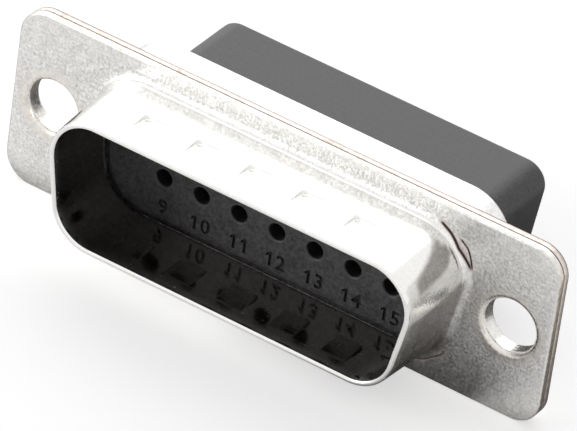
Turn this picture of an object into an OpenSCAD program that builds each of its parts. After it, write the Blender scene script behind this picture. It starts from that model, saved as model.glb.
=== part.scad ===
// Cable plug of the D-subminiature kind: a crimp housing with two rows of empty contact cavities.
// Seen from the mating face, X runs right along the rows, Y runs back towards the cable
// and Z runs up to the wide side of the D. The origin is the centre of the flange's front face.
// The modules are drawn flat: plan X and Y, with Z towards the mating side, and turned at the end.

/* [Contacts] */
// Cavities in the upper, longer row; the lower row has one less
upper_count = 8; // [5:1:13]
// Distance between neighbouring cavities in a row
contact_pitch = 2.77; // [2.7:0.01:2.8]
// Distance between the two rows
row_spacing = 2.84; // [2.8:0.01:2.9]
// Diameter of the hole that the pin passes through
pin_hole_d = 1.15; // [1.1:0.05:1.5]
// Diameter of the pocket behind it, for the contact's shoulder
shoulder_d = 1.9; // [1.6:0.05:2]
// Diameter of the cavity at the back, for the crimped barrel
barrel_d = 2.2; // [2:0.05:2.3]
// Diameter of the chamber that holds a retention clip
clip_chamber_d = 2.4; // [2.3:0.02:2.5]

/* [Hood] */
// From the last upper cavity to the inside of the hood at its widest
hood_end = 2.93; // [2.8:0.01:3.2]
// Height inside the hood, at its mouth
hood_h = 8.36; // [8.2:0.02:8.6]
// Inside corner radius of the hood, at its mouth
hood_corner_r = 2.6; // [2.2:0.05:2.9]
// How far the hood stands out of the flange
hood_depth = 5.84; // [5.84:0.02:6.5]
// Wall of the drawn hood
hood_wall = 0.38; // [0.35:0.01:0.45]
// How much each wall of the hood leans out towards the flange, in degrees
hood_draft = 3.2; // [2.5:0.1:3.2]
// Radius of the bend from the hood into the flange, outside
hood_bend_r = 0.6; // [0.4:0.05:0.6]
// Slope of the two short sides of the D, in degrees
side_angle = 10; // [8:0.5:12]

/* [Ground dimples] */
// Dimples in each long wall of the hood
dimple_count = 5; // [3:1:5]
// Distance between neighbouring dimples
dimple_pitch = 3.8; // [3:0.1:3.9]
// Width of a dimple along the row, on the inside
dimple_w = 1.9; // [1.5:0.05:2]
// Length of a dimple towards the flange
dimple_l = 2; // [1.6:0.05:2.2]
// How far the deep end of a dimple stands into the hood
dimple_rise = 0.28; // [0.2:0.01:0.32]
// From the flange's front face to the middle of the dimples
dimple_from_flange = 3.5; // [3:0.05:3.6]

/* [Flanges] */
// Length of a flange past the inside of the hood, both ends together
flange_extra = 13.89; // [13.5:0.01:14.2]
// Height of the flanges
flange_h = 12.55; // [12.3:0.05:12.8]
// Corner radius of the flanges
flange_corner_r = 1.9; // [1:0.1:2.5]
// Thickness of one flange sheet
sheet = 0.53; // [0.5:0.01:0.53]
// Radius rolled onto the edge of a flange sheet
sheet_edge_r = 0.14; // [0.05:0.01:0.2]

/* [Mounting holes] */
// Distance between the holes past the inside width of the hood
hole_extra = 8.07; // [7.9:0.01:8.2]
// Diameter of the clear hole through both flanges
hole_d = 3.6; // [3.2:0.05:3.8]
// Wall of the eyelet that is drawn out of the front flange
eyelet_wall = 0.3; // [0.25:0.01:0.35]
// How far the eyelet is rolled out behind the rear flange
eyelet_lip = 0.4; // [0.3:0.05:0.45]

/* [Rear collar] */
// Height of the collar, outside
collar_h = 10.72; // [10.5:0.02:10.9]
// Width of the collar past the inside of the hood
collar_extra = 2.55; // [2.3:0.05:2.6]
// Outside corner radius of the collar
collar_corner_r = 3.2; // [2.8:0.1:3.6]
// Wall of the collar and of its end
collar_wall = 0.45; // [0.4:0.01:0.5]
// From the flange's front face to the end of the collar
collar_end = 4.4; // [4.2:0.05:4.8]
// Radius rolled onto the end of the collar
collar_edge_r = 0.55; // [0.5:0.05:0.8]

/* [Insulators] */
// From the flange's front face back to the front insulator's face
face_setback = 0.28; // [0.2:0.01:0.45]
// Where the two insulators meet, from the flange's front face
split_at = 2.3; // [2.1:0.05:2.6]
// From the flange's front face to the back of the rear insulator
block_end = 11.32; // [10.8:0.02:12]
// Height of the block behind the collar
block_h = 7.1; // [7.1:0.05:7.6]
// Width of the block past the ends of the upper row
block_extra = 4.54; // [4.2:0.02:4.8]
// Corner radius of the block
block_corner_r = 1.5; // [1:0.1:1.8]
// Slope of the block's short sides, in degrees
block_angle = 6.5; // [6:0.5:10]

/* [Retention clips] */
// Outside diameter of a clip
clip_d = 2.34; // [2.2:0.01:2.36]
// Thickness of the clip's strip
clip_strip = 0.12; // [0.12:0.01:0.15]
// Length of a clip
clip_l = 3.1; // [2.6:0.1:3.2]

/* [Hidden] */
$fn = 96;
lower_count = upper_count - 1;
contact_count = upper_count + lower_count;
row_w = (upper_count - 1) * contact_pitch;
lower_row_w = (lower_count - 1) * contact_pitch;
hood_w = row_w + 2 * hood_end;
flange_w = hood_w + flange_extra;
flange_back = -sheet;
stack_back = -2 * sheet;

sweep_scale = 100;
// Width by which pieces of one sheet lie over each other where they join
overlap = 0.2;
// How far a cutter stands past the faces that it cuts
margin = 0.1;

// Hood section: n runs outwards from the inside of the mouth, v towards the mating side.
// The bend into the flange is wider on the inside by the swell.
rim_r = hood_wall / 2;
rim_v = hood_depth - rim_r;
lean = tan(hood_draft);
lean_normal = [cos(hood_draft), sin(hood_draft)];
bend_swell = 0.25;
inner_bend_r = hood_bend_r + bend_swell;
inner_bend_v = flange_back + inner_bend_r;
outer_bend = [hood_wall + (rim_v - hood_bend_r) * lean + hood_bend_r / lean_normal.x, hood_bend_r];
inner_bend = [(rim_v - inner_bend_v) * lean + inner_bend_r / lean_normal.x, inner_bend_v];
hood_foot = 1.5;

// Dimples: their steep sides in degrees from upright, how much smaller they are on the outside
// at each side, and how far their wedge reaches past the face that it starts from
dimple_side_angle = 20;
dimple_draw = 0.1;
dimple_reach = 0.05;

// Collar section: n runs outwards from the inside of the collar
collar_in_w = hood_w + collar_extra - 2 * collar_wall;
collar_in_h = collar_h - 2 * collar_wall;
collar_in_r = collar_corner_r - collar_wall;
collar_bend_r = 0.5;
collar_inner_bend_r = 0.8;
collar_foot = 1.2;
collar_step = 0.8;
collar_inside = -collar_end + collar_wall;
window_gap = 0.05;

// Eyelet drawn out of the front flange and rolled over behind the rear one
hole_r = hole_d / 2;
hole_x = (hood_w + hole_extra) / 2;
eyelet_r = hole_r + eyelet_wall;
eyelet_foot_r = hole_r + 0.7;
eyelet_front_r = 0.35;
eyelet_back_r = 0.22;
eyelet_back = stack_back - 0.25;
eyelet_gap = 0.03;

// Insulators: the nose looks out of the hood, the skirt is caught between the two shells.
// The skirt comes forward until its upper corners all but touch the bend inside the front shell.
skirt_gap = 0.04;
skirt_clearance = 0.01;
skirt_w = collar_in_w - 2 * skirt_gap;
skirt_h = collar_in_h - 2 * skirt_gap;
skirt_r = collar_in_r - skirt_gap;
skirt_corner = [skirt_w / 2 - skirt_r, skirt_h / 2 - skirt_r];
hood_corner = [hood_w / 2 - hood_corner_r, hood_h / 2 - hood_corner_r];
skirt_over = norm(skirt_corner - hood_corner) + skirt_r - hood_corner_r;
skirt_touch = inner_bend_v - sqrt(pow(inner_bend_r, 2) - pow(inner_bend.x - skirt_over, 2));
skirt_front = skirt_touch - skirt_clearance;
nose_over = 0.45;
nose_edge_r = 0.35;
block_w = row_w + block_extra;
block_edge_r = 0.3;
shoulder_at = 1.3;
pin_lead_in = 0.09;
barrel_lead_in = 0.25;

// Retention clips
clip_play = 0.05;
clip_room = clip_l + clip_play;
clip_back = -split_at - clip_room;
clip_r = clip_d / 2;
clip_slot = 34;
tine_angle = 44;
tine_gap_angle = 3;
tine_tip_r = 0.86;
tine_root = 0.7;
tine_l = 1.7;

// Place of cavity k, counted along the upper row and then along the lower one
function cavity_at(k) =
    k <= upper_count
    ? [(k - 1) * contact_pitch - row_w / 2, row_spacing / 2]
    : [(k - upper_count - 1) * contact_pitch - lower_row_w / 2, -row_spacing / 2];

// Corner centres of a round-cornered D with its wide side up, clockwise from the top left
function d_centres(w, h, r, slope) =
    let (top = w / 2 - r, y = h / 2 - r, bottom = top - 2 * y * tan(slope))
    [[-top, y], [top, y], [bottom, -y], [-bottom, -y]];

// Sweeps a section round a D outline: the section's X runs outwards from it, its Y is up.
// A core fills the middle between two heights. All is drawn at a hundredth of its size and
// then enlarged, so that the seams between the runs and the corners close.
module swept_round_d(w, h, r, slope = side_angle, core = [0, 0]) {
    centres = d_centres(w, h, r, slope);
    normals = [90, -slope, -90, slope - 180];
    turns = [90 + slope, 90 + slope, 90 - slope, 90 - slope];
    scale(sweep_scale) {
        for (i = [0 : 3])
            translate(centres[i] / sweep_scale)
                rotate(normals[i]) {
                    rotate([90, 0, 0])
                        linear_extrude(norm(centres[(i + 1) % 4] - centres[i]) / sweep_scale)
                            scale(1 / sweep_scale)
                                translate([r, 0])
                                    children();
                    rotate_extrude(angle = turns[i])
                        scale(1 / sweep_scale)
                            translate([r, 0])
                                children();
                }
        if (core[1] > core[0])
            translate([0, 0, core[0] / sweep_scale])
                linear_extrude((core[1] - core[0]) / sweep_scale)
                    polygon(centres / sweep_scale);
    }
}

// Solid round-cornered D between two heights, with rounded edges where a radius is given
module round_d(w, h, r, low, high, slope = side_angle, low_edge_r = 0, high_edge_r = 0) {
    swept_round_d(w, h, r, slope, [low, high])
        difference() {
            translate([-r, low])
                square([r, high - low]);
            if (low_edge_r > 0)
                edge_waste([0, low], low_edge_r, [1, -1]);
            if (high_edge_r > 0)
                edge_waste([0, high], high_edge_r, [1, 1]);
        }
}

// What rounding takes off a square corner; side says which way the corner points
module edge_waste(corner, r, side) {
    reach = r + margin;
    translate(corner - r * side)
        difference() {
            translate([min(0, side.x * reach), min(0, side.y * reach)])
                square(reach);
            circle(r);
        }
}

// Sheet flange with rounded edges and round holes, open for the foot of a drawn D.
// The window's corners are a little tighter, so that no seam of it lies on one of the foot.
module flange(front, drawn, foot, hole_r) {
    window_over = foot - overlap;
    window_r = drawn[2] + window_over - overlap / 2;
    difference() {
        round_d(flange_w, flange_h, flange_corner_r, front - sheet, front, 0, sheet_edge_r, sheet_edge_r);
        round_d(
            drawn[0] + 2 * window_over, drawn[1] + 2 * window_over, window_r,
            front - sheet - margin, front + margin
        );
        for (side = [-1, 1])
            translate([side * hole_x, 0, front - sheet - margin])
                cylinder(r = hole_r, h = sheet + 2 * margin);
    }
}

// Section of the drawn hood: half-round rim, leaning wall and bend down into the flange
module hood_section() {
    wall_foot = [(rim_v - flange_back) * lean, flange_back];
    inner_start = inner_bend - inner_bend_r * lean_normal;
    outer_start = outer_bend - hood_bend_r * lean_normal;
    difference() {
        polygon([
            [0, rim_v], [hood_wall, rim_v], outer_start, [outer_bend.x, 0],
            [hood_foot, 0], [hood_foot, flange_back], wall_foot
        ]);
        translate(outer_bend)
            circle(hood_bend_r);
        difference() {
            polygon([
                inner_start, wall_foot - [margin, margin],
                [inner_bend.x, flange_back - margin], [inner_bend.x, flange_back]
            ]);
            translate(inner_bend)
                circle(inner_bend_r);
        }
    }
    translate([rim_r, rim_v])
        intersection() {
            circle(rim_r);
            translate([-rim_r, 0])
                square([hood_wall, rim_r]);
        }
}

// Wedge of one dimple: its floor ramps down from the mouth and its other three sides are
// steep. It is where a ramp drawn along the wall meets a trapezium drawn across it.
module dimple_wedge(inset) {
    flare = tan(dimple_side_angle);
    half_w = dimple_w / 2 - inset;
    back = inset - dimple_l / 2;
    front = dimple_l / 2;
    deep = back + dimple_rise * flare;
    ramp = (front - deep) / dimple_rise;
    intersection() {
        translate([-dimple_w, 0, 0])
            rotate([90, 0, 90])
                linear_extrude(2 * dimple_w)
                    polygon([
                        [-dimple_rise, deep],
                        [dimple_reach, back - dimple_reach * flare],
                        [dimple_reach, front + dimple_reach * ramp]
                    ]);
        translate([0, 0, -dimple_l])
            linear_extrude(2 * dimple_l)
                polygon([
                    [half_w + dimple_reach * flare, dimple_reach],
                    [half_w - dimple_rise * flare, -dimple_rise],
                    [dimple_rise * flare - half_w, -dimple_rise],
                    [-half_w - dimple_reach * flare, dimple_reach]
                ]);
    }
}

// Stands its child at each dimple, on the inside of the two long walls
module at_dimples() {
    wall_out = hood_h / 2 + (rim_v - dimple_from_flange) * lean;
    for (turn = [0, 180])
        for (i = [0 : dimple_count - 1])
            rotate(turn)
                translate([(i - (dimple_count - 1) / 2) * dimple_pitch, wall_out, dimple_from_flange])
                    rotate([hood_draft, 0, 0])
                        children();
}

// Section of an eyelet, revolved about the hole
module eyelet_section() {
    difference() {
        union() {
            translate([hole_r, flange_back])
                square([eyelet_foot_r - hole_r, sheet]);
            translate([hole_r, stack_back])
                square([eyelet_wall, sheet]);
            translate([hole_r, eyelet_back])
                square([eyelet_wall + eyelet_lip, stack_back - eyelet_back]);
        }
        edge_waste([hole_r, 0], eyelet_front_r, [-1, 1]);
        edge_waste([hole_r, eyelet_back], eyelet_back_r, [-1, -1]);
        edge_waste([eyelet_r + eyelet_lip, eyelet_back], eyelet_back_r / 2, [1, -1]);
    }
}

module front_shell() {
    color([0.83, 0.82, 0.8])
        rotate([90, 0, 0]) {
            difference() {
                union() {
                    swept_round_d(hood_w, hood_h, hood_corner_r)
                        hood_section();
                    at_dimples()
                        dimple_wedge(0);
                }
                at_dimples()
                    translate([0, hood_wall, 0])
                        dimple_wedge(dimple_draw);
            }
            flange(0, [hood_w, hood_h, hood_corner_r], hood_foot, eyelet_foot_r - overlap);
            for (side = [-1, 1])
                translate([side * hole_x, 0, 0])
                    rotate_extrude()
                        eyelet_section();
        }
}

// Section of the rear collar: bend out of the flange, wall and rolled end
module collar_section() {
    end = -collar_end;
    difference() {
        union() {
            translate([0, end])
                square([collar_wall, flange_back - end]);
            translate([0, stack_back - collar_bend_r])
                square([collar_foot, flange_back - stack_back + collar_bend_r]);
            translate([-collar_step, end])
                square([collar_step, collar_wall]);
        }
        translate([collar_wall + collar_bend_r, stack_back - collar_bend_r])
            circle(collar_bend_r);
        translate([collar_wall + collar_bend_r, stack_back - 2 * collar_bend_r])
            square([collar_foot, 2 * collar_bend_r]);
        edge_waste([0, flange_back], collar_inner_bend_r, [-1, 1]);
        edge_waste([collar_wall, end], collar_edge_r, [1, -1]);
    }
}

module rear_shell() {
    end_under = collar_step - overlap;
    end_w = collar_in_w - 2 * end_under;
    end_h = collar_in_h - 2 * end_under;
    end_r = collar_in_r - end_under;
    color([0.8, 0.79, 0.77])
        rotate([90, 0, 0]) {
            swept_round_d(collar_in_w, collar_in_h, collar_in_r)
                collar_section();
            flange(
                flange_back, [collar_in_w, collar_in_h, collar_in_r], collar_foot, eyelet_r + eyelet_gap
            );
            difference() {
                round_d(end_w, end_h, end_r, -collar_end, collar_inside);
                round_d(
                    block_w + 2 * window_gap, block_h + 2 * window_gap, block_corner_r + window_gap,
                    -collar_end - margin, collar_inside + margin, block_angle
                );
            }
        }
}

module front_insulator() {
    color([0.21, 0.21, 0.22])
        rotate([90, 0, 0])
            difference() {
                union() {
                    round_d(skirt_w, skirt_h, skirt_r, -split_at, skirt_front);
                    round_d(
                        hood_w + 2 * nose_over, hood_h + 2 * nose_over, hood_corner_r + nose_over,
                        -split_at, -face_setback, side_angle, 0, nose_edge_r
                    );
                }
                for (k = [1 : contact_count])
                    translate(cavity_at(k))
                        pin_passage();
            }
}

// Hole for the pin, with its lead-in and the pocket for the contact's shoulder
module pin_passage() {
    pin_r = pin_hole_d / 2;
    translate([0, 0, -split_at - margin])
        cylinder(r = shoulder_d / 2, h = split_at - shoulder_at + margin);
    translate([0, 0, -split_at])
        cylinder(r = pin_r, h = split_at);
    translate([0, 0, -face_setback - pin_lead_in])
        cylinder(r1 = pin_r, r2 = pin_r + 2 * pin_lead_in, h = 2 * pin_lead_in);
}

module rear_insulator() {
    color([0.19, 0.19, 0.2])
        rotate([90, 0, 0])
            difference() {
                union() {
                    round_d(skirt_w, skirt_h, skirt_r, collar_inside, -split_at);
                    round_d(
                        block_w, block_h, block_corner_r, -block_end, -split_at,
                        block_angle, block_edge_r
                    );
                }
                for (k = [1 : contact_count])
                    translate(cavity_at(k))
                        barrel_passage();
            }
}

// Cavity for the crimped barrel, with its lead-in at the back and the clip's chamber in front
module barrel_passage() {
    barrel_r = barrel_d / 2;
    translate([0, 0, clip_back])
        cylinder(r = clip_chamber_d / 2, h = clip_room + margin);
    translate([0, 0, -block_end - margin])
        cylinder(r = barrel_r, h = block_end + clip_back + 2 * margin);
    translate([0, 0, -block_end - barrel_lead_in])
        cylinder(r1 = barrel_r + 2 * barrel_lead_in, r2 = barrel_r, h = 2 * barrel_lead_in);
}

// Slotted sleeve with three tines lanced inwards, which catch the contact behind its shoulder
module retention_clip(k) {
    color([0.79, 0.64, 0.36])
        rotate([90, 0, 0])
            translate(concat(cavity_at(k), [clip_back])) {
                difference() {
                    rotate(clip_slot / 2)
                        rotate_extrude(angle = 360 - clip_slot)
                            translate([clip_r - clip_strip, 0])
                                square([clip_strip, clip_l]);
                    for (turn = [60, 180, 300])
                        rotate(turn - tine_angle / 2 - tine_gap_angle)
                            rotate_extrude(angle = tine_angle + 2 * tine_gap_angle)
                                translate([clip_r - 2 * clip_strip, tine_root])
                                    square([3 * clip_strip, tine_l]);
                }
                for (turn = [60, 180, 300])
                    rotate(turn - tine_angle / 2)
                        rotate_extrude(angle = tine_angle)
                            polygon([
                                [clip_r - clip_strip, tine_root - overlap], [clip_r, tine_root - overlap],
                                [clip_r, tine_root], [tine_tip_r + clip_strip, tine_root + tine_l],
                                [tine_tip_r, tine_root + tine_l], [clip_r - clip_strip, tine_root]
                            ]);
            }
}

front_shell();
rear_shell();
front_insulator();
rear_insulator();
for (k = [1 : contact_count])
    retention_clip(k);
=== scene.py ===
import math

import bmesh
import bpy
import numpy as np
from mathutils import Matrix, Vector
from mathutils.geometry import delaunay_2d_cdt


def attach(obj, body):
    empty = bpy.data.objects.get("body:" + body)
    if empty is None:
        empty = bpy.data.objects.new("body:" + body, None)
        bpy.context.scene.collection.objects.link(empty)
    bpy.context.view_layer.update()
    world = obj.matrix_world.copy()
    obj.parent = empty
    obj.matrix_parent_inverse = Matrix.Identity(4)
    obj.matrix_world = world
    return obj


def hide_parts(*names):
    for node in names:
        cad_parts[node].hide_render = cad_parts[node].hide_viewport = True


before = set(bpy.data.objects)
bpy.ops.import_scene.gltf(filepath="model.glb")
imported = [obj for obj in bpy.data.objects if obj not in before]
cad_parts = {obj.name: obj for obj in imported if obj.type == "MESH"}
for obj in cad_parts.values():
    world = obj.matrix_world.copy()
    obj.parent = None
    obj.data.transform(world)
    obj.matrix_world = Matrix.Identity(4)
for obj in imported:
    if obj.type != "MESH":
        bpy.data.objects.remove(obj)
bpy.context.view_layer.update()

# Sizes in millimetres. X runs right along the rows, Y back and Z up to the wide side. Where a
# distance is called v it is measured forward, towards the mating side, from the flange's front.
MM = 0.001

# Hood
HOOD_W, HOOD_H, HOOD_R, HOOD_DEPTH, HOOD_WALL = 25.25, 8.36, 2.6, 5.84, 0.38
HOOD_DRAFT, HOOD_BEND, HOOD_THROAT = 3.2, 0.6, 0.85
SIDE_ANGLE = 10.0

# Flanges
SHEET, SHEET_EDGE = 0.53, 0.14
FLANGE_W, FLANGE_H, FLANGE_R = 39.14, 12.55, 1.9
HOOD_FOOT, COLLAR_FOOT = 1.5, 1.2

# Dimples in the hood's long walls
DIMPLE_X = [-7.6, -3.8, 0.0, 3.8, 7.6]
DIMPLE_HALF_W, DIMPLE_BACK, DIMPLE_FRONT, DIMPLE_RISE = 0.95, 2.5, 4.5, 0.28
DIMPLE_FLARE, DIMPLE_DRAW = math.tan(math.radians(20)), 0.1
DIMPLE_ZONE = (2.2, 4.8)

# Mounting holes: the front sheet's tube goes through the rear sheet and ends in a lip
HOLE_X, HOLE_R, HOLE_ROLL, REAR_HOLE_R = 16.66, 1.8, 0.35, 2.13
TUBE_R, TUBE_END = 2.1, 1.31
LIP_R, LIP_SEAT, LIP_BEND, LIP_EDGE = 2.5, 1.07, 0.22, 0.11
HOLE_HALO = (2.62, 2.45, 2.28)

# Collar of the rear shell
COLLAR_W, COLLAR_H, COLLAR_R, COLLAR_WALL, COLLAR_END = 26.9, 9.82, 2.75, 0.45, 4.4
COLLAR_BEND, COLLAR_THROAT, COLLAR_ROLL, COLLAR_LEDGE = 0.5, 0.8, 0.55, 0.8

# Insulators
PITCH, ROW_Z, UPPER_COUNT = 2.77, 1.42, 8
FACE_Y, NOSE_EDGE, NOSE_OVER = 0.28, 0.35, 0.45
SKIRT_W, SKIRT_H, SKIRT_R, SKIRT_FRONT, SKIRT_END, SPLIT = 26.82, 9.74, 2.71, 0.527, 3.95, 2.3
BLOCK_W, BLOCK_H, BLOCK_R, BLOCK_END, BLOCK_SLOPE, BLOCK_EDGE = 23.93, 7.1, 1.5, 11.32, 6.5, 0.3
BLOCK_GAP = 0.05
PIN_HOLE_R, PIN_LEAD_IN, SHOULDER_R, SHOULDER_AT = 0.575, 0.09, 0.95, 1.3
CHAMBER_R, CHAMBER_END, BARREL_R, BARREL_LEAD_IN = 1.2, 5.45, 1.1, 0.25
NUMERAL_Z, NUMERAL_H, NUMERAL_DEPTH, NUMERAL_BOLD = 3.45, 0.98, 0.13, 0.032
LOWER_NUMERAL_SHIFT = 0.2

# Places in the hood's section: the middle of the rolled rim, and the centres of the two bends
LEAN = math.tan(math.radians(HOOD_DRAFT))
BEND_REACH = 1 / math.cos(math.radians(HOOD_DRAFT))
RIM_R = HOOD_WALL / 2
RIM_V = HOOD_DEPTH - RIM_R
BEND_OUT = HOOD_WALL + (RIM_V - HOOD_BEND) * LEAN + HOOD_BEND * BEND_REACH
THROAT_V = HOOD_THROAT - SHEET
THROAT_OUT = (RIM_V - THROAT_V) * LEAN + HOOD_THROAT * BEND_REACH


# Outlines and profiles

def arc(cx, cy, r, a0, a1, n):
    """Points of an arc, angles in degrees, both ends included."""
    t = np.radians(np.linspace(a0, a1, n + 1))
    return list(zip(cx + r * np.cos(t), cy + r * np.sin(t)))


def line(a, b, step):
    """Points from a to b in even steps, the first one left out."""
    a, b = np.array(a, float), np.array(b, float)
    count = max(1, int(round(np.linalg.norm(b - a) / step)))
    return [tuple(a + (b - a) * k / count) for k in range(1, count + 1)]


def ramp(x, start, end):
    """0 up to start, 1 from end on and even in between; end may lie below start."""
    return np.clip((x - start) / (end - start), 0, 1)


def d_outline(w, h, r, slope=SIDE_ANGLE, corner=20, step=1.0, places=()):
    """Round-cornered D, wide side up, clockwise: points and outward normals, both (n, 2).

    Where places are given, the two long sides have points there instead of even steps."""
    top, y = w / 2 - r, h / 2 - r
    bottom = top - 2 * y * math.tan(math.radians(slope))
    centres = np.array([[-top, y], [top, y], [bottom, -y], [-bottom, -y]])
    starts = [180 + slope, 90, -slope, -90]
    turns = [90 + slope, 90 + slope, 90 - slope, 90 - slope]
    points, normals = [], []
    for i in range(4):
        corner_normals = np.array(arc(0, 0, 1, starts[i], starts[i] - turns[i], corner))
        points.extend(centres[i] + r * corner_normals)
        normals.extend(corner_normals)
        begin, end = points[-1], centres[(i + 1) % 4] + r * corner_normals[-1]
        if len(places) and i in (0, 2):
            half = abs(begin[0]) - 0.1
            along = [x for x in places if abs(x) < half]
            side = [(x, begin[1]) for x in (along if i == 0 else along[::-1])]
        else:
            side = line(begin, end, step)[:-1]
        points.extend(side)
        normals.extend([corner_normals[-1]] * len(side))
    return np.array(points), np.array(normals)


def inside(loop, p):
    """Even-odd test of points p (m, 2) against a loop (n, 2)."""
    hit = np.zeros(len(p), bool)
    for (x1, y1), (x2, y2) in zip(loop, np.roll(loop, -1, 0)):
        if y1 == y2:
            continue
        crossed = (y1 > p[:, 1]) != (y2 > p[:, 1])
        at = x1 + (p[:, 1] - y1) * (x2 - x1) / (y2 - y1)
        hit ^= crossed & (p[:, 0] < at)
    return hit


# Skins

# Marks on each vertex: polish; real wear on metal edges and a painted highlight on plastic hole
# rims; painted shade; and the painted shade of crinkles with the dark seam line on the flange edges
MARKS = ("polish", "wear", "shade", "crease")
SHARP_FROM = math.radians(40)


class Skin:
    """Collects a piece's vertices in millimetres, its faces, and the marks on each vertex that
    the finishes read."""

    def __init__(self):
        self.verts, self.faces, self.marks = [], [], {label: [] for label in MARKS}

    def add(self, points, **marks):
        first = len(self.verts)
        self.verts.extend(map(tuple, np.asarray(points, float)))
        for label, values in self.marks.items():
            values.extend(np.broadcast_to(marks.get(label, 0.0), (len(points),)).tolist())
        return np.arange(first, first + len(points))

    def sweep(self, outline, profile, push=None, **marks):
        """Rings of a profile of (outwards, v) pairs round an outline, with faces between them.

        push gives what each point of each ring is moved outwards and forward. A mark is one
        value or one per ring."""
        points, normals = outline
        push = np.zeros((len(profile), 2, len(points))) if push is None else push
        rings = []
        for k, (out, v) in enumerate(profile):
            xz = points + normals * (out + push[k][0])[:, None]
            ring = np.stack([xz[:, 0], -(v + push[k][1]), xz[:, 1]], 1)
            rings.append(self.add(ring, **ring_marks(marks, k)))
        self.join(rings)
        return rings

    def revolve(self, x, z, profile, n=72, **marks):
        """Rings of a profile of (radius, v) pairs round a hole's axis, with faces between them."""
        t = np.linspace(0, 2 * np.pi, n, endpoint=False)
        rings = []
        for k, (r, v) in enumerate(profile):
            ring = np.stack([x + r * np.cos(t), np.full(n, -v), z + r * np.sin(t)], 1)
            rings.append(self.add(ring, **ring_marks(marks, k)))
        self.join(rings)
        return rings

    def join(self, rings):
        """Quads between rings of vertex numbers, each ring closed."""
        for a, b in zip(rings[:-1], rings[1:]):
            after_a, after_b = np.roll(a, -1), np.roll(b, -1)
            self.faces.extend(zip(a, after_a, after_b, b))

    def fill(self, loops):
        """Fills the area between loops of vertex numbers that lie in one XZ plane."""
        index = np.concatenate(loops)
        places = {i: (self.verts[i][0], self.verts[i][2]) for i in index}
        edges, first = [], 0
        for loop in loops:
            edges += [(first + i, first + (i + 1) % len(loop)) for i in range(len(loop))]
            first += len(loop)
        points, _, triangles, origin, *_ = delaunay_2d_cdt(
            [Vector(places[i]) for i in index], edges, [], 0, 1e-7)
        centres = np.array([np.mean([points[v] for v in t], 0) for t in triangles])
        keep = np.zeros(len(triangles), bool)
        for loop in loops:
            keep ^= inside(np.array([places[i] for i in loop]), centres)
        for triangle, kept in zip(triangles, keep):
            if kept:
                self.faces.append(tuple(index[origin[v][0]] for v in triangle))

    def build(self, name):
        mesh = bpy.data.meshes.new(name)
        faces = [tuple(int(i) for i in face) for face in self.faces]
        mesh.from_pydata([(x * MM, y * MM, z * MM) for x, y, z in self.verts], [], faces)
        for label, values in self.marks.items():
            layer = mesh.attributes.new(label, "FLOAT", "POINT")
            layer.data.foreach_set("value", np.array(values, np.float32))
        bm = bmesh.new()
        bm.from_mesh(mesh)
        bmesh.ops.dissolve_degenerate(bm, dist=1e-9, edges=bm.edges)
        bmesh.ops.recalc_face_normals(bm, faces=bm.faces)
        bm.to_mesh(mesh)
        bm.free()
        mesh.shade_smooth()
        mesh.set_sharp_from_angle(angle=SHARP_FROM)
        obj = placed(name, mesh)
        weighted = obj.modifiers.new("even normals", "WEIGHTED_NORMAL")
        weighted.keep_sharp = True
        weighted.weight = 100
        return obj


def ring_marks(marks, k):
    """The marks of ring k, where a mark is one value or one per ring."""
    return {label: value[k] if np.ndim(value) else value for label, value in marks.items()}


def placed(name, data):
    """A new object in the scene."""
    obj = bpy.data.objects.new(name, data)
    bpy.context.scene.collection.objects.link(obj)
    return obj


# Flanges

def flange_outline():
    return d_outline(FLANGE_W, FLANGE_H, FLANGE_R, slope=0, corner=16, step=1.5)


def sheet_edge(front, back):
    """Section of a sheared edge with small rounds, from the front face to the back one."""
    e = SHEET_EDGE
    return arc(-e, front - e, e, 90, 0, 6) + arc(-e, back + e, e, 0, -90, 6)


# Front shell

def soft_min(a, b, k):
    """The smaller of two values, blended over k."""
    h = np.clip(0.5 + 0.5 * (b - a) / k, 0, 1)
    return b + (a - b) * h - k * h * (1 - h)


def dimple_depth(x, v, draw):
    """How deep the dimples press into a long wall: a ramp from the mouth with three steep sides.

    draw narrows them on the outside, where only the rear left corner of each is deep."""
    deep = DIMPLE_BACK + draw + DIMPLE_RISE * DIMPLE_FLARE
    mouth = np.full(len(x), (DIMPLE_FRONT - v) * DIMPLE_RISE / (DIMPLE_FRONT - deep))
    back = np.full(len(x), (v - DIMPLE_BACK - draw) / DIMPLE_FLARE)
    depth = np.zeros(len(x))
    for cx in DIMPLE_X:
        side = (DIMPLE_HALF_W - draw - np.abs(x - cx)) / DIMPLE_FLARE
        one = soft_min(soft_min(mouth, back, 0.06), side, 0.06)
        if draw:
            left = 1 / (1 + np.exp((x - cx + 0.35) / 0.12))
            one = one * (0.3 + 0.7 * left)
        depth = np.maximum(depth, -soft_min(-one, np.zeros(len(x)), 0.04))
    return np.where(depth < 0.012, 0, depth)


def dimple_places():
    """Places along a long wall where a dimple's form needs points."""
    steps = [0, 0.3, 0.55, 0.66, 0.72, 0.76, 0.8, 0.84, 0.88, 0.92, 0.96, 1.0, 1.06, 1.2]
    near = {round(cx + sign * d, 3) for cx in DIMPLE_X for d in steps for sign in (-1, 1)}
    between = {round(cx + 1.9, 3) for cx in DIMPLE_X} | {-9.5, 9.9, 10.3, -9.9, -10.3}
    return sorted(near | between)
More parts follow.
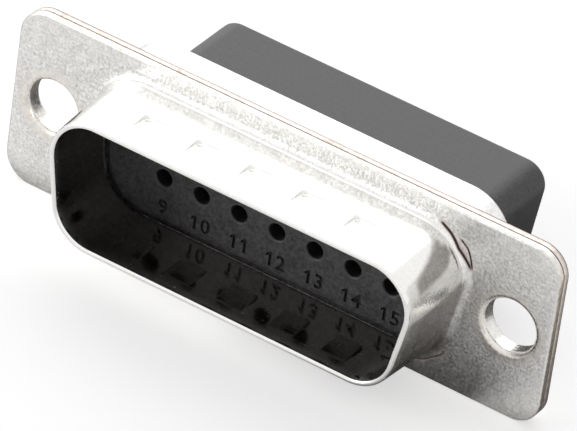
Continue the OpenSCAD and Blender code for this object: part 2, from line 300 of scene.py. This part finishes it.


# Crinkles that drawing left in the bend of the hood's right end. Each is a run of points, the
# direction round the corner in degrees and the distance round the bend from the flange, with
# its half width, its depth and how strongly painted shade marks it.
CRINKLES = [
    ([(74, 0.25), (64, 0.31), (57, 0.33), (50, 0.39), (41, 0.46), (30, 0.35), (15, 0.14)],
     0.085, 0.07, 1.0),
    ([(50, 0.1), (47, 0.06), (37, -0.07), (24, 0.04), (15, 0.1)], 0.065, 0.05, 1.0),
    ([(48, 0.24), (37, 0.2), (24, 0.2)], 0.09, -0.02, 0.18),
    ([(12, 0.62), (0, 0.64), (-10, 0.56)], 0.04, -0.03, 0.0),
    ([(-30, 0.08), (-36, 0.18), (-43, 0.4), (-50, 0.5)], 0.07, 0.02, 0.45),
    ([(-32, 0.02), (-40, -0.12), (-52, -0.05), (-62, -0.1), (-75, -0.05)], 0.06, 0.025, 0.7),
]


def crinkle_folds(turn, around):
    """Depth of the crinkles at one distance round the bend, and how strongly painted shade marks
    them.
    """
    depth, dark = np.zeros(len(turn)), np.zeros(len(turn))
    for run, half_width, deep, darkness in CRINKLES:
        turns, places = zip(*run[::-1])
        fade = ramp(turn, turns[0], turns[0] + 4) * ramp(turn, turns[-1], turns[-1] - 4)
        fold = fade * np.exp(-((around - np.interp(turn, turns, places)) / half_width) ** 2)
        depth = depth + deep * fold
        dark = np.maximum(dark, darkness * fold)
    return np.array([depth, dark])


def painted_dark_reflection(turn, v):
    """Painted dark reflection: a patch on the hood's upper right corner, and the lower part of its
    right end.
    """
    low = np.interp(v, [0.6, 1.4, 2.5, 4.4], [42, 28, 24, 20])
    high = np.interp(v, [0.6, 1.2, 2.4, 4.4], [50, 66, 56, 42])
    ends = ramp(v, 0.55, 0.85) * ramp(v, 4.7, 4.3)
    patch = ends * ramp(turn, low, low + 5) * ramp(turn, high, high - 7)
    under = np.interp(v, [0.5, 4.4], [8, -5])
    lower = ramp(v, 0.02, 0.32) * ramp(v, 5.5, 5.0) * ramp(turn, under, under - 7)
    return 0.85 * np.maximum(patch, lower)


def hood_section():
    """The hood's section as lists of (outwards, v) pairs: flat, bend, outer wall, rim, inner
    wall and throat, from the flange's front over the rim to its back."""
    low = [0.9, 1.2, 1.6, 2.0]
    dimple_back = [2.3, 2.4, 2.46, 2.5, 2.54, 2.58, 2.62, 2.66, 2.7, 2.75, 2.85, 3.0]
    high = [3.2, 3.4, 3.6, 3.8, 4.0, 4.2, 4.35, 4.5, 4.7, 5.0, 5.3]
    heights = low + dimple_back + high
    flat = [(out, 0.0) for out in (HOOD_FOOT, 1.44, 1.39, 1.35, BEND_OUT + 0.05)]
    bend = arc(BEND_OUT, HOOD_BEND, HOOD_BEND, -90, -180 - HOOD_DRAFT, 24)
    outer = [(HOOD_WALL + (RIM_V - v) * LEAN, v) for v in heights]
    rim = arc(RIM_R, RIM_V, RIM_R, 0, 180, 12)
    inner = [((RIM_V - v) * LEAN, v) for v in heights[::-1]]
    throat = arc(THROAT_OUT, THROAT_V, HOOD_THROAT, 180 + HOOD_DRAFT, 270, 16)
    return flat, bend, outer, rim, inner, throat + [(HOOD_FOOT, -SHEET)]


def hood(skin):
    """The hood's rings, dimpled on both faces of its long walls and crinkled in its bend."""
    outline = d_outline(HOOD_W, HOOD_H, HOOD_R, corner=36, step=0.4, places=dimple_places())
    points, normals = outline
    turn = np.degrees(np.arctan2(normals[:, 1], normals[:, 0]))
    long_walls = np.abs(normals[:, 1]) > 0.9999
    right, left_end = points[:, 0] > 0, np.abs(turn) > 160
    # Where the right end turns down, polish is lowered: rougher, and darker as painted shade
    dull_and_shaded = right * ramp(turn, 28, 14) * ramp(turn, -100, -80)

    flat, bend, outer, rim, inner, throat = hood_section()
    section = flat + bend + outer + rim + inner + throat
    bend_end = len(flat + bend)
    rim_start = bend_end + len(outer)
    dark_from = rim_start + 2 * len(rim) // 3
    push = np.zeros((len(section), 2, len(points)))
    polish, shade, crease = np.zeros((3, len(section), len(points)))
    for k, (out, v) in enumerate(section):
        polish[k] = ramp(v, 0.02, 0.37)
        if k < rim_start:
            polish[k] *= 1 - 0.4 * dull_and_shaded
            # Painted dark reflection on the outside of the right end
            shade[k] = painted_dark_reflection(turn, v) * right
        # Inside past two thirds of the rim: painted shade, left off a strip at the left end just
        # above the face, which stays bright
        elif k > dark_from:
            shade[k] = ramp(v, RIM_V + 0.1, RIM_V - 0.5) * (1 - left_end * (v < 0.2))
        if DIMPLE_ZONE[0] < v < DIMPLE_ZONE[1]:
            draw = DIMPLE_DRAW if k < rim_start else 0.0
            push[k][0] = -dimple_depth(points[:, 0], v, draw) * long_walls

    # The crinkles go into the metal: straight down on the flat, then along the bend's radius
    bend_length = HOOD_BEND * math.radians(90 + HOOD_DRAFT)
    around = [BEND_OUT - out for out, v in flat] + list(np.linspace(0, bend_length, len(bend)))
    into = [(0.0, -1.0)] * len(flat) + arc(0, 0, 1, -90, -180 - HOOD_DRAFT, len(bend) - 1)
    # The crinkles also mark painted shade along their lines
    for k in range(bend_end):
        depth, crease[k] = crinkle_folds(turn, around[k]) * right
        push[k] += np.outer(into[k], depth)
    return skin.sweep(outline, section, push, polish=polish, shade=shade, crease=crease)


def mounting_hole(skin, x):
    """Rolled mouth, tube through both sheets and the lip that clamps them."""
    hole = [(r, 0) for r in HOLE_HALO]
    hole += arc(HOLE_R + HOLE_ROLL, -HOLE_ROLL, HOLE_ROLL, 90, 180, 10)
    hole += line((HOLE_R, -HOLE_ROLL), (HOLE_R, LIP_BEND - TUBE_END), 0.1)
    hole += arc(HOLE_R + LIP_BEND, LIP_BEND - TUBE_END, LIP_BEND, 180, 270, 6)[1:]
    hole += arc(LIP_R - LIP_EDGE, LIP_EDGE - TUBE_END, LIP_EDGE, -90, 0, 4)
    hole += [(LIP_R, -LIP_SEAT), (TUBE_R, -LIP_SEAT), (TUBE_R, -SHEET)]
    polish, wear = [0, 0.2, 0.3], [0, 0.45, 0.45, 0.5, 0.6, 0.7, 0.8, 0.9]
    polish += [0.5] * (len(hole) - len(polish))
    wear += [0.2] * (len(hole) - len(wear))
    return skin.revolve(x, 0, hole, polish=polish, wear=wear)


def front_shell():
    skin = Skin()
    hood_rings = hood(skin)
    edge = sheet_edge(0, -SHEET)
    worn = [0, 0.1, 0.3, 0.6, 0.9] + [1] * (len(edge) - 5)
    seam = [0] * (len(edge) - 4) + [0.3, 1, 1, 1]
    edge_rings = skin.sweep(flange_outline(), edge, polish=0.35, wear=worn, crease=seam)
    holes = [mounting_hole(skin, side * HOLE_X) for side in (-1, 1)]
    skin.fill([edge_rings[0], hood_rings[0]] + [rings[0] for rings in holes])
    skin.fill([edge_rings[-1], hood_rings[-1]] + [rings[-1] for rings in holes])
    return skin.build("front_shell_skin")


# Rear shell

def rear_shell():
    skin = Skin()
    front, back, end = -SHEET, -2 * SHEET, -COLLAR_END
    collar = d_outline(COLLAR_W, COLLAR_H, COLLAR_R, corner=24)
    outer = [(COLLAR_FOOT, back), (COLLAR_WALL + COLLAR_BEND + 0.03, back)]
    outer += arc(COLLAR_WALL + COLLAR_BEND, back - COLLAR_BEND, COLLAR_BEND, 90, 180, 10)
    outer += line(outer[-1], (COLLAR_WALL, end + COLLAR_ROLL), 0.4)
    outer += arc(COLLAR_WALL - COLLAR_ROLL, end + COLLAR_ROLL, COLLAR_ROLL, 0, -90, 10)[1:]
    outer_rings = skin.sweep(collar, outer, polish=0.6)
    throat = front - COLLAR_THROAT
    inner = [(-COLLAR_LEDGE, end + COLLAR_WALL), (0, end + COLLAR_WALL), (0, throat)]
    inner += arc(COLLAR_THROAT, throat, COLLAR_THROAT, 180, 90, 10)[1:]
    inner += [(COLLAR_FOOT, front)]
    inner_rings = skin.sweep(collar, inner, polish=0.3)

    edge = sheet_edge(front, back)
    seam = [1, 1, 1, 0.3] + [0] * (len(edge) - 11) + [0.5, 1, 1, 1, 0.7, 0.3, 0, 0]
    worn = [1] * (len(edge) - 3) + [0.8, 0.5, 0.3, 0]
    polish = [0.35] * len(edge) + [0.1]
    edge.append((-SHEET_EDGE - 0.015, back))
    edge_rings = skin.sweep(flange_outline(), edge, polish=polish, wear=worn, crease=seam)
    holes = [skin.revolve(side * HOLE_X, 0, [(REAR_HOLE_R, front), (REAR_HOLE_R, back)], polish=0.3)
             for side in (-1, 1)]
    skin.fill([edge_rings[0], inner_rings[-1]] + [rings[0] for rings in holes])
    skin.fill([edge_rings[-1], outer_rings[0]] + [rings[-1] for rings in holes])

    window = d_outline(BLOCK_W + 2 * BLOCK_GAP, BLOCK_H + 2 * BLOCK_GAP, BLOCK_R + BLOCK_GAP,
                       slope=BLOCK_SLOPE, corner=16)
    window_rings = skin.sweep(window, [(0, end), (0, end + COLLAR_WALL)], polish=0.3)
    skin.fill([outer_rings[-1], window_rings[0]])
    skin.fill([inner_rings[0], window_rings[1]])
    return skin.build("rear_shell_skin")


# Numerals

def flagged_one(bar):
    """A plain bar of the lettering, given the slanted flag of a moulded 1."""
    (left, low), (right, high) = bar.min(0), bar.max(0)
    stroke, reach = right - left, 0.2 * (high - low)
    return np.array([(left, low), (right, low), (right, high), (left + 0.3 * stroke, high),
                     (left - reach, high - reach), (left - reach, high - reach - 0.9 * stroke),
                     (left, high - 0.6 * stroke - reach / 2)])


def thicken(loops, by):
    """Moves outlines away from the stroke that they bound, outer ones out and counters in,
    and drops the points that would cross in tight corners."""
    wider = []
    for loop in loops:
        after = np.roll(loop, -1, 0)
        side = after - loop
        around = np.sign(np.sum(loop[:, 0] * after[:, 1] - after[:, 0] * loop[:, 1]))
        counter = any(other is not loop and inside(other, loop[:1])[0] for other in loops)
        ahead = side / np.linalg.norm(side, axis=1)[:, None]
        right = np.stack([ahead[:, 1], -ahead[:, 0]], 1)
        before = np.roll(right, 1, 0)
        out = (right + before) / np.maximum(1 + np.sum(right * before, 1), 0.5)[:, None]
        moved = loop + out * by * around * (-1 if counter else 1)
        reach = moved[:, None] - loop[None]
        part = np.clip(np.sum(reach * side, 2) / np.sum(side * side, 1), 0, 1)
        gap = np.linalg.norm(reach - part[..., None] * side, axis=2).min(1)
        wider.append(moved[gap > 0.62 * by])
    return wider


def lettering(word):
    """Outlines of a number in the plain built-in lettering, each an (n, 2) array."""
    curve = bpy.data.curves.new("numeral", "FONT")
    curve.body = word
    curve.fill_mode = "NONE"
    curve.space_character = 1.1
    curve.resolution_u = 5
    obj = bpy.data.objects.new("numeral", curve)
    mesh = bpy.data.meshes.new_from_object(obj)
    bm = bmesh.new()
    bm.from_mesh(mesh)
    loops, seen = [], set()
    for start in bm.verts:
        if start.index in seen or not start.link_edges:
            continue
        loop, vert, edge = [], start, None
        while vert.index not in seen:
            seen.add(vert.index)
            loop.append((vert.co.x, vert.co.y))
            edge = next(e for e in vert.link_edges if e is not edge)
            vert = edge.other_vert(vert)
        loops.append(np.array(loop))
    bm.free()
    bpy.data.objects.remove(obj)
    bpy.data.curves.remove(curve)
    bpy.data.meshes.remove(mesh)
    return loops


def numeral_loops(word):
    """Outlines of a moulded number round its centre, at its height in millimetres."""
    loops = []
    for loop in lettering(word):
        width, height = np.ptp(loop, axis=0)
        loops.append(flagged_one(loop) if width < 0.3 * height else loop)
    every = np.concatenate(loops)
    low, high = every.min(0), every.max(0)
    k = NUMERAL_H / (high[1] - low[1])
    return thicken([(loop - (low + high) / 2) * k for loop in loops], NUMERAL_BOLD)


# Insulators

def cavities():
    """Centres of the contact cavities, the upper row first."""
    rows = ((UPPER_COUNT, ROW_Z), (UPPER_COUNT - 1, -ROW_Z))
    return [((k - (count - 1) / 2) * PITCH, z) for count, z in rows for k in range(count)]


def skirt_outline():
    return d_outline(SKIRT_W, SKIRT_H, SKIRT_R)


def front_insulator():
    skin = Skin()
    face, back = -FACE_Y, -SPLIT
    meet = math.degrees(math.asin((FACE_Y - SKIRT_FRONT + NOSE_EDGE) / NOSE_EDGE))
    nose_edge = arc(NOSE_OVER - NOSE_EDGE, face - NOSE_EDGE, NOSE_EDGE, 90, meet, 8)
    nose_rings = skin.sweep(d_outline(HOOD_W, HOOD_H, HOOD_R, corner=24), nose_edge)
    skirt_rings = skin.sweep(skirt_outline(), [(0, -SKIRT_FRONT), (0, back)])
    skin.fill([skirt_rings[0], nose_rings[-1]])

    lip = PIN_HOLE_R + PIN_LEAD_IN
    hole = [(lip + 0.06, face), (lip, face), (PIN_HOLE_R, face - PIN_LEAD_IN),
            (PIN_HOLE_R, -SHOULDER_AT), (SHOULDER_R, -SHOULDER_AT), (SHOULDER_R, back)]
    # Pin holes: a painted highlight on the lead-in rim and painted shade down the wall
    wear, shade = [0, 1, 0.6, 0, 0, 0], [0, 0, 0.8, 1, 1, 0]
    holes = [skin.revolve(x, z, hole, n=48, wear=wear, shade=shade) for x, z in cavities()]

    sunk, floors = [], []
    for k, (x, z) in enumerate(cavities()):
        at = (x, NUMERAL_Z) if z > 0 else (x + LOWER_NUMERAL_SHIFT, -NUMERAL_Z)
        for loop in numeral_loops(str(k + 1)):
            across, up = (loop + at).T
            top = skin.add(np.stack([across, np.full(len(loop), FACE_Y), up], 1))
            floor_y = np.full(len(loop), FACE_Y + NUMERAL_DEPTH)
            # The engraved floors carry painted shade
            low = skin.add(np.stack([across, floor_y, up], 1), shade=1.0)
            skin.join([top, low])
            sunk.append(top)
            floors.append(low)
    skin.fill([nose_rings[0]] + [rings[0] for rings in holes] + sunk)
    skin.fill(floors)
    skin.fill([skirt_rings[-1]] + [rings[-1] for rings in holes])
    return skin.build("front_insulator_skin")


def rear_insulator():
    skin = Skin()
    front, step, back = -SPLIT, -SKIRT_END, -BLOCK_END
    skirt_rings = skin.sweep(skirt_outline(), [(0, front), (0, step)])
    block = d_outline(BLOCK_W, BLOCK_H, BLOCK_R, slope=BLOCK_SLOPE, step=0.8)
    section = [(0, step)] + line((0, step), (0, back + BLOCK_EDGE), 0.8)
    section += arc(-BLOCK_EDGE, back + BLOCK_EDGE, BLOCK_EDGE, 0, -90, 8)[1:]
    block_rings = skin.sweep(block, section)
    skin.fill([skirt_rings[-1], block_rings[0]])

    entry = BARREL_R + BARREL_LEAD_IN
    hole = [(CHAMBER_R, front), (CHAMBER_R, -CHAMBER_END), (BARREL_R, -CHAMBER_END),
            (BARREL_R, back + BARREL_LEAD_IN), (entry, back), (entry + 0.03, back)]
    # Painted highlight on the rims of the barrel entries
    wear = [0, 0, 0, 0.5, 0.7, 0]
    holes = [skin.revolve(x, z, hole, n=48, wear=wear) for x, z in cavities()]
    skin.fill([skirt_rings[0]] + [rings[0] for rings in holes])
    skin.fill([block_rings[-1]] + [rings[-1] for rings in holes])
    return skin.build("rear_insulator_skin")


# Finishes

def tone(colour, k=1.0):
    """A colour made lighter or darker, with its alpha."""
    return tuple(c * k for c in colour) + (1.0,)


DUST = tone((0.2, 0.17, 0.15))
SHEARED_LIGHT, SHEARED_DARK = tone((0.88, 0.81, 0.71)), tone((0.55, 0.47, 0.4))
# Dark tone of the painted shade on the metal
PAINTED_SHADE_TONE = tone((0.165, 0.145, 0.135))
# The dark of a crinkle is painted shade, the dark of a flange seam is a joint line; the flush
# beside both is a reddish tone
CREASE_FLUSH, CREASE_SHADE_AND_SEAM = tone((0.52, 0.42, 0.4)), tone((0.05, 0.035, 0.033))
TIN, BRONZE = (0.93, 0.92, 0.9), (0.72, 0.55, 0.28)
# The front insulator's black is painted lighter than the rear's, to make up for the shade inside
# the hood
FRONT_BLACK_PAINTED_LIGHTER, REAR_BLACK = (0.074, 0.074, 0.076), (0.06, 0.06, 0.063)


class Nodes:
    """Short words for building a node tree."""

    def __init__(self, tree):
        self.tree = tree

    def add(self, kind, inputs=(), **values):
        node = self.tree.nodes.new(kind)
        for key, value in values.items():
            setattr(node, key, value)
        for key, value in dict(inputs).items():
            self.put(node.inputs[key], value)
        return node

    def put(self, socket, value):
        if isinstance(value, bpy.types.NodeSocket):
            self.tree.links.new(value, socket)
        else:
            socket.default_value = value

    def math(self, op, a, b, clamp=False):
        return self.add("ShaderNodeMath", {0: a, 1: b}, operation=op, use_clamp=clamp).outputs[0]

    def times(self, a, b):
        return self.math("MULTIPLY", a, b)

    def span(self, value, a, b, c=0.0, d=1.0):
        """The value's range from a to b stretched to run from c to d, and held there."""
        ends = {"Value": value, "From Min": a, "From Max": b, "To Min": c, "To Max": d}
        return self.add("ShaderNodeMapRange", ends).outputs["Result"]

    def noise(self, where, scale, detail, rough):
        settings = {"Vector": where, "Scale": scale, "Detail": detail, "Roughness": rough}
        return self.add("ShaderNodeTexNoise", settings).outputs["Fac"]

    def mix(self, fac, a, b):
        return self.add("ShaderNodeMix", {0: fac, 6: a, 7: b}, data_type="RGBA").outputs[2]

    def bump(self, height, strength, distance):
        settings = {"Height": height, "Strength": strength, "Distance": distance}
        return self.add("ShaderNodeBump", settings).outputs[0]

    def use(self, shared, **inputs):
        """A shared effect placed with its own inputs."""
        return self.add("ShaderNodeGroup", inputs, node_tree=shared).outputs[0]


def blank(owner):
    """The emptied node tree of a material or a world."""
    owner.use_nodes = True
    owner.node_tree.nodes.clear()
    return Nodes(owner.node_tree)


COLOUR, NUMBER, PLACE = "NodeSocketColor", "NodeSocketFloat", "NodeSocketVector"


def effect(name, inputs, outputs, build):
    """A shader node group: build gets its nodes and its inputs, and gives its one output."""
    tree = bpy.data.node_groups.new(name, "ShaderNodeTree")
    for label, kind in inputs.items():
        tree.interface.new_socket(label, in_out="INPUT", socket_type=kind)
    for label, kind in outputs.items():
        tree.interface.new_socket(label, in_out="OUTPUT", socket_type=kind)
    n = Nodes(tree)
    given = n.add("NodeGroupInput").outputs
    n.put(n.add("NodeGroupOutput").inputs[0], build(n, given))
    return tree


def build_grain(n, given):
    """Fine blotchy grain."""
    coarse = n.noise(given["Vector"], 1500.0, 2.0, 0.6)
    fine = n.noise(given["Vector"], 5200.0, 1.0, 0.6)
    return n.span(n.math("ADD", n.times(coarse, 0.35), n.times(fine, 0.65)), 0.35, 0.65)


def build_specks(n, given):
    """Sparse small spots."""
    cells = n.add("ShaderNodeTexVoronoi", {"Vector": given["Vector"], "Scale": given["Scale"]})
    spot = n.span(cells.outputs["Distance"], 0.10, 0.16, 1.0, 0.0)
    chance = n.add("ShaderNodeSeparateColor", {0: cells.outputs["Color"]}).outputs[0]
    return n.times(spot, n.math("GREATER_THAN", chance, 0.72))


def build_sheared_edge(n, given):
    """Bare metal in ragged patches where an edge was sheared or rubbed."""
    patches = n.span(n.noise(given["Vector"], 420.0, 3.0, 0.6), 0.3, 0.7, 0.35, 1.0)
    worn = n.math("MULTIPLY", given["Wear"], patches, clamp=True)
    torn = n.span(n.noise(given["Vector"], 2600.0, 2.0, 0.6), 0.45, 0.62)
    return n.mix(worn, given["Color"], n.mix(torn, SHEARED_LIGHT, SHEARED_DARK))


def build_painted_shade(n, given):
    """Painted shade: the colour mixed towards a dark tone, a little less where the grain is light.
    """
    film = n.times(given["Shade"], n.span(given["Grain"], 0.0, 1.0, 0.9, 0.75))
    return n.mix(film, given["Color"], PAINTED_SHADE_TONE)


def build_crease_shade_and_seam_line(n, given):
    """Dark line with a reddish flush beside it: painted shade down the middle of a crease, and a
    dark joint along the seam between the sheets.
    """
    flush = n.times(n.span(given["Crease"], 0.02, 0.25), 0.75)
    beside = n.mix(flush, given["Color"], CREASE_FLUSH)
    return n.mix(n.span(given["Crease"], 0.35, 0.75), beside, CREASE_SHADE_AND_SEAM)


grain = effect("grain", {"Vector": PLACE}, {"Value": NUMBER}, build_grain)
specks = effect("specks", {"Vector": PLACE, "Scale": NUMBER}, {"Value": NUMBER}, build_specks)
sheared_edge = effect("sheared_edge", {"Color": COLOUR, "Vector": PLACE, "Wear": NUMBER},
                      {"Color": COLOUR}, build_sheared_edge)
painted_shade = effect("painted_shade", {"Color": COLOUR, "Grain": NUMBER, "Shade": NUMBER},
                 {"Color": COLOUR}, build_painted_shade)
crease_shade_and_seam_line = effect("crease_shade_and_seam_line", {"Color": COLOUR, "Crease": NUMBER},
                     {"Color": COLOUR}, build_crease_shade_and_seam_line)


def material(name):
    """A material with its shader, the place on the piece and the marks that its skin carries."""
    finish = bpy.data.materials.new(name)
    n = blank(finish)
    shader = n.add("ShaderNodeBsdfPrincipled")
    n.add("ShaderNodeOutputMaterial", {"Surface": shader.outputs[0]})
    where = n.add("ShaderNodeTexCoord").outputs["Object"]
    marks = {label: n.add("ShaderNodeAttribute", attribute_name=label).outputs["Fac"]
             for label in MARKS}
    return finish, n, shader.inputs, where, marks


def metal(name, tint, flange_rough, hood_rough):
    """Plated sheet: satin on the flanges, brighter where it was drawn or bent."""
    finish, n, surface, where, marks = material(name)
    polish = marks["polish"]
    spots = n.use(grain, Vector=where)
    dust = n.use(specks, Vector=where, Scale=2400.0)

    satin = n.mix(spots, tone(tint, 0.6), tone(tint))
    colour = n.mix(n.span(polish, 0.0, 1.0, 0.0, 0.85), satin, tone(tint))
    colour = n.mix(n.times(dust, n.span(polish, 0.0, 1.0, 0.3, 0.05)), colour, DUST)
    colour = n.use(sheared_edge, Color=colour, Vector=where, Wear=marks["wear"])
    # Painted shade where the shade mark is set: inside the hood and on its right end
    colour = n.use(painted_shade, Color=colour, Grain=spots, Shade=marks["shade"])
    # Painted shade along the crinkles, and the dark seam line on the flange edges
    colour = n.use(crease_shade_and_seam_line, Color=colour, Crease=marks["crease"])
    n.put(surface["Base Color"], colour)
    n.put(surface["Metallic"], 1.0)

    rough = n.span(polish, 0.0, 1.0, flange_rough, hood_rough)
    uneven = n.times(n.span(spots, 0.0, 1.0, -0.06, 0.06), n.span(polish, 0.0, 1.0, 1.0, 0.3))
    dusty = n.times(n.times(dust, polish), 0.5)
    creased = n.times(marks["crease"], 0.3)
    for more in (uneven, dusty, creased):
        rough = n.math("ADD", rough, more)
    n.put(surface["Roughness"], rough)

    pitted = n.times(spots, n.span(polish, 0.0, 1.0, 0.5, 0.05))
    waves = n.times(n.noise(where, 260.0, 2.0, 0.5), 0.6)
    n.put(surface["Normal"], n.bump(n.math("ADD", pitted, waves), 0.6, 0.00004))
    return finish


def plastic(name, base, rough):
    """Glass-filled moulding: fine grain, a painted highlight on the rims of the holes, and painted
    shade on engraved floors and down the holes.
    """
    finish, n, surface, where, marks = material(name)
    spots = n.use(grain, Vector=where)
    lint = n.use(specks, Vector=where, Scale=1500.0)
    colour = n.mix(spots, tone(base, 0.55), tone(base, 1.6))
    # Painted highlight on the rims of the holes
    colour = n.mix(n.times(marks["wear"], 0.6), colour, tone(base, 2.4))
    colour = n.mix(n.times(lint, 0.25), colour, tone(base, 2.8))
    # Painted shade on the engraved floors and down the holes
    n.put(surface["Base Color"], n.mix(marks["shade"], colour, tone(base, 0.2)))
    n.put(surface["Roughness"], n.span(spots, 0.0, 1.0, rough - 0.08, rough + 0.08))
    n.put(surface["Normal"], n.bump(spots, 0.2, 0.00002))
    return finish


# Each skin stands for a CAD node; the clips keep their CAD shape
skins = [
    (front_shell(), "front_shell", "hood_steel", metal("hood_steel", TIN, 0.45, 0.12)),
    (rear_shell(), "rear_shell", "rear_steel", metal("rear_steel", TIN, 0.45, 0.25)),
    (front_insulator(), "front_insulator", "front_plastic",
     plastic("front_plastic", FRONT_BLACK_PAINTED_LIGHTER, 0.5)),
    (rear_insulator(), "rear_insulator", "rear_plastic",
     plastic("rear_plastic", REAR_BLACK, 0.45)),
]
for obj, node, slot, finish in skins:
    obj.data.materials.append(finish)
    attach(obj, "root")
    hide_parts(node)

clip_bronze = metal("clip_bronze", BRONZE, 0.35, 0.35)
for name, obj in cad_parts.items():
    if name.startswith("retention_clip"):
        for place in obj.material_slots:
            place.material = clip_bronze


# Room: a pale floor, soft lights and a world that is white to the camera and in reflections

FLOOR_LIFT, MIRRORED_LIFT, WORLD_DIM = 0.55, 0.38, 0.23
FLOOR_HALF = 900
WHITE = (1, 1, 1, 1)


def floor_paint():
    """Pale matte paint that keeps shadows, lifted to white where it is seen or mirrored.

    What the metal mirrors has a painted shadow under the hood's right end and behind the flanges."""
    paint = bpy.data.materials.new("floor_paint")
    n = blank(paint)
    rays = n.add("ShaderNodeLightPath").outputs
    place = n.add("ShaderNodeTexCoord").outputs["Object"]
    x, y, _ = n.add("ShaderNodeSeparateXYZ", {0: place}).outputs
    # Painted shadow, seen only in reflections
    under = n.times(n.span(x, 0.002, 0.009), n.span(x, 0.0145, 0.0175, 1.0, 0.0))
    under = n.times(under, n.span(y, -0.011, -0.005))
    behind = n.times(n.span(y, -0.002, 0.001), n.span(y, 0.018, 0.028, 1.0, 0.0))
    behind = n.times(behind, n.span(x, 0.026, 0.034, 1.0, 0.0))
    shadow = n.math("MAXIMUM", under, behind)
    mirrored_shadow = n.times(shadow, rays["Is Glossy Ray"])
    matte = n.add("ShaderNodeBsdfDiffuse")
    n.put(matte.inputs["Color"], n.mix(mirrored_shadow, (0.8, 0.8, 0.8, 1), (0.25, 0.24, 0.23, 1)))
    mirrored = n.times(rays["Is Glossy Ray"], n.span(shadow, 0.0, 1.0, MIRRORED_LIFT, 0.0))
    lift = n.math("ADD", n.times(rays["Is Camera Ray"], FLOOR_LIFT), mirrored)
    glow = n.add("ShaderNodeEmission", {"Color": WHITE, "Strength": lift})
    both = n.add("ShaderNodeAddShader", {0: matte.outputs[0], 1: glow.outputs[0]})
    n.add("ShaderNodeOutputMaterial", {"Surface": both.outputs[0]})
    return paint


def floor():
    """A wide square that the flanges' lower edges stand on."""
    mesh = bpy.data.meshes.new("floor")
    corners = ((-1, -1), (1, -1), (1, 1), (-1, 1))
    mesh.from_pydata([(x * FLOOR_HALF * MM, y * FLOOR_HALF * MM, -FLANGE_H / 2 * MM)
                      for x, y in corners], [], [(0, 1, 2, 3)])
    mesh.materials.append(floor_paint())
    return placed("floor", mesh)


def room_world():
    """White to rays from the camera and to mirrored or refracted ones, dim to the rest."""
    world = bpy.data.worlds.new("world")
    n = blank(world)
    rays = n.add("ShaderNodeLightPath").outputs
    seen = n.math("MAXIMUM", rays["Is Camera Ray"], rays["Is Glossy Ray"])
    seen = n.math("MAXIMUM", seen, rays["Is Transmission Ray"])
    white = n.add("ShaderNodeBackground", {"Color": WHITE, "Strength": 1.0})
    dim = n.add("ShaderNodeBackground", {"Color": WHITE, "Strength": WORLD_DIM})
    pick = n.add("ShaderNodeMixShader", {0: seen, 1: dim.outputs[0], 2: white.outputs[0]})
    n.add("ShaderNodeOutputWorld", {"Surface": pick.outputs[0]})
    return world


def soft_box(name, at, size, radiance):
    """Square lamp that looks at the connector, as bright as a white card lit to that level."""
    lamp = bpy.data.lights.new(name, "AREA")
    lamp.shape = "SQUARE"
    lamp.size = size * MM
    lamp.energy = radiance * math.pi * (size * MM) ** 2
    obj = placed(name, lamp)
    obj.location = Vector(at) * MM
    obj.rotation_euler = (-obj.location).to_track_quat("-Z", "Y").to_euler()
    obj.visible_camera = False


def camera():
    """The photograph's camera: a long lens above the left front, turned a little on its axis."""
    lens = bpy.data.cameras.new("camera")
    lens.sensor_width = 36.0
    lens.lens = 474.13
    lens.clip_start = 0.01
    right = Vector((0.8272, 0.5494, 0.118))
    down = Vector((0.3975, -0.4237, -0.8139))
    ahead = Vector((-0.3971, 0.7202, -0.5689))
    axes = Matrix((right, -down, -ahead)).transposed().to_4x4()
    obj = placed("camera", lens)
    obj.matrix_world = Matrix.Translation(Vector((182.64, -329.77, 260.87)) * MM) @ axes
    return obj


floor()
soft_box("top_light", (-180, 290, 290), 600, 1.15)
soft_box("left_light", (-340, -260, 160), 240, 4.0)
bpy.context.scene.world = room_world()
bpy.context.scene.camera = camera()
bpy.context.scene.view_settings.view_transform = "Standard"
